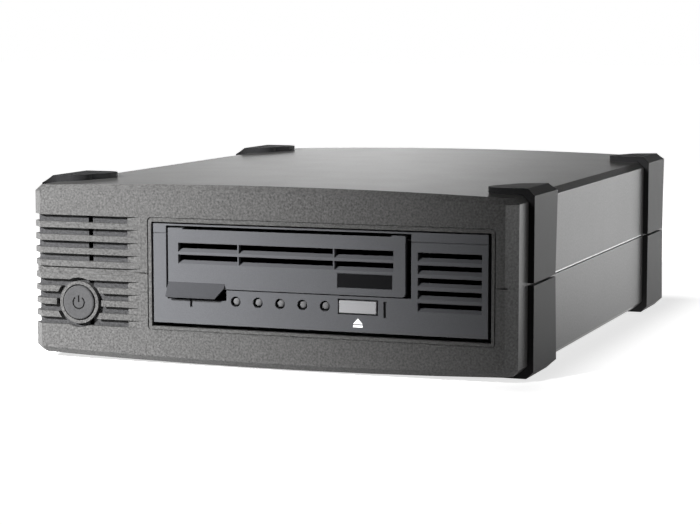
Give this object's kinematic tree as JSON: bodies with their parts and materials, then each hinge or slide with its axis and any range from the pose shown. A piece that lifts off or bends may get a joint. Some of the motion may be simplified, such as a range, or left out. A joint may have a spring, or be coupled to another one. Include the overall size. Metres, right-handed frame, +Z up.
{
  "type": "tape drive",
  "caption": "Desktop data tape drive: half-height drive with a hinged cartridge door in a ventilated two-shell case with rubber corner bumpers.",
  "frame": {"origin": "under the middle of the enclosure, on the plane that the bumpers stand on", "axes": "+X to the right seen from the front, +Y towards the rear panel, +Z up"},
  "size_m": [0.2232, 0.2914, 0.0784],
  "materials": {
    "shell_plastic": "moulded graphite plastic with a fine grain",
    "bumper_rubber": "matt moulded rubber",
    "bezel_plastic": "fine-grained moulded plastic",
    "button_plastic": "light grey moulded plastic",
    "lens_plastic": "smoked light pipe",
    "zinc_steel": "zinc plated sheet steel",
    "frame_casting": "die-cast aluminium",
    "black_plastic": "black moulded plastic",
    "reel_plastic": "moulded reel plastic",
    "board": "green circuit board",
    "pin_metal": "plated contact pins",
    "screw_steel": "blackened screw steel"
  },
  "bodies": {
    "enclosure": {"upper_shell": "shell_plastic", "lower_shell": "shell_plastic", "upper_louvre_panel": "shell_plastic", "lower_louvre_panel": "shell_plastic", "front_left_upper_bumper": "bumper_rubber", "front_left_lower_bumper": "bumper_rubber", "rear_left_upper_bumper": "bumper_rubber", "rear_left_lower_bumper": "bumper_rubber", "front_right_upper_bumper": "bumper_rubber", "front_right_lower_bumper": "bumper_rubber", "rear_right_upper_bumper": "bumper_rubber", "rear_right_lower_bumper": "bumper_rubber", "power_switch": "black_plastic", "fan_frame": "black_plastic", "mains_inlet": "black_plastic", "port_tongue": "black_plastic", "data_cable": "black_plastic", "drive_connector": "black_plastic", "eject_switch": "black_plastic", "chassis_tray": "zinc_steel", "chassis_lid": "zinc_steel", "rear_panel": "zinc_steel", "fan_guard": "zinc_steel", "data_port": "zinc_steel", "supply_case": "zinc_steel", "left_drive_bracket": "zinc_steel", "right_drive_bracket": "zinc_steel", "drive_top_cover": "zinc_steel", "drive_bottom_cover": "zinc_steel", "cartridge_motor": "zinc_steel", "reel_motor": "zinc_steel", "door_hinge_pin": "zinc_steel", "inlet_pins": "pin_metal", "supply_board": "board", "control_board": "board", "front_board": "board", "supply_parts": "reel_plastic", "drive_frame": "frame_casting", "head_actuator": "frame_casting", "drive_bezel": "bezel_plastic", "lamp_lenses": "lens_plastic", "fan_screws": "screw_steel", "shell_screws": "screw_steel"},
    "power_button": {"power_button": "shell_plastic"},
    "drive_door": {"drive_door": "bezel_plastic"},
    "eject_button": {"eject_button": "button_plastic"},
    "fan_rotor": {"fan_rotor": "black_plastic"},
    "takeup_reel": {"takeup_reel": "reel_plastic"},
    "drive_clutch": {"drive_clutch": "reel_plastic"},
    "tape_head": {"tape_head": "frame_casting"},
    "cartridge_carriage": {"cartridge_carriage": "zinc_steel"},
    "guide_roller_1": {"guide_roller_1": "frame_casting"},
    "guide_roller_2": {"guide_roller_2": "frame_casting"},
    "guide_roller_3": {"guide_roller_3": "frame_casting"},
    "guide_roller_4": {"guide_roller_4": "frame_casting"}
  },
  "joints": [
    {"name": "power_button_press", "type": "slide", "parent": "enclosure", "child": "power_button", "axis": [0, 1, 0], "range_m": [0, 0.0015], "stiffness_N_per_m": 300, "springref_m": -0.0005},
    {"name": "door_swing", "type": "hinge", "parent": "enclosure", "child": "drive_door", "pos_m": [0.0095, -0.1403, 0.0577], "axis": [1, 0, 0], "range_deg": [0, 85], "stiffness_Nm_per_rad": 0.002, "springref_deg": -17.19},
    {"name": "eject_button_press", "type": "slide", "parent": "enclosure", "child": "eject_button", "axis": [0, 1, 0], "range_m": [0, 0.001], "stiffness_N_per_m": 300, "springref_m": -0.0005},
    {"name": "fan_spin", "type": "hinge", "parent": "enclosure", "child": "fan_rotor", "pos_m": [0.0655, 0.1345, 0.0392], "axis": [0, 1, 0], "continuous": true},
    {"name": "reel_spin", "type": "hinge", "parent": "enclosure", "child": "takeup_reel", "pos_m": [0.0155, 0.0217, 0.0376], "axis": [0, 0, 1], "continuous": true},
    {"name": "clutch_spin", "type": "hinge", "parent": "enclosure", "child": "drive_clutch", "pos_m": [0.0095, -0.06406, 0.0306], "axis": [0, 0, 1], "continuous": true},
    {"name": "roller_1_spin", "type": "hinge", "parent": "enclosure", "child": "guide_roller_1", "pos_m": [0.0595, -0.0063, 0.0396], "axis": [0, 0, 1], "continuous": true},
    {"name": "roller_2_spin", "type": "hinge", "parent": "enclosure", "child": "guide_roller_2", "pos_m": [0.0845, -0.0033, 0.0396], "axis": [0, 0, 1], "continuous": true},
    {"name": "roller_3_spin", "type": "hinge", "parent": "enclosure", "child": "guide_roller_3", "pos_m": [0.0835, 0.0307, 0.0396], "axis": [0, 0, 1], "continuous": true},
    {"name": "roller_4_spin", "type": "hinge", "parent": "enclosure", "child": "guide_roller_4", "pos_m": [0.0635, 0.0477, 0.0396], "axis": [0, 0, 1], "continuous": true},
    {"name": "head_shift", "type": "slide", "parent": "enclosure", "child": "tape_head", "axis": [0, 0, 1], "range_m": [-0.0015, 0.0015]},
    {"name": "carriage_slide", "type": "slide", "parent": "enclosure", "child": "cartridge_carriage", "axis": [0, 1, 0], "range_m": [0, 0.012]}
  ]
}
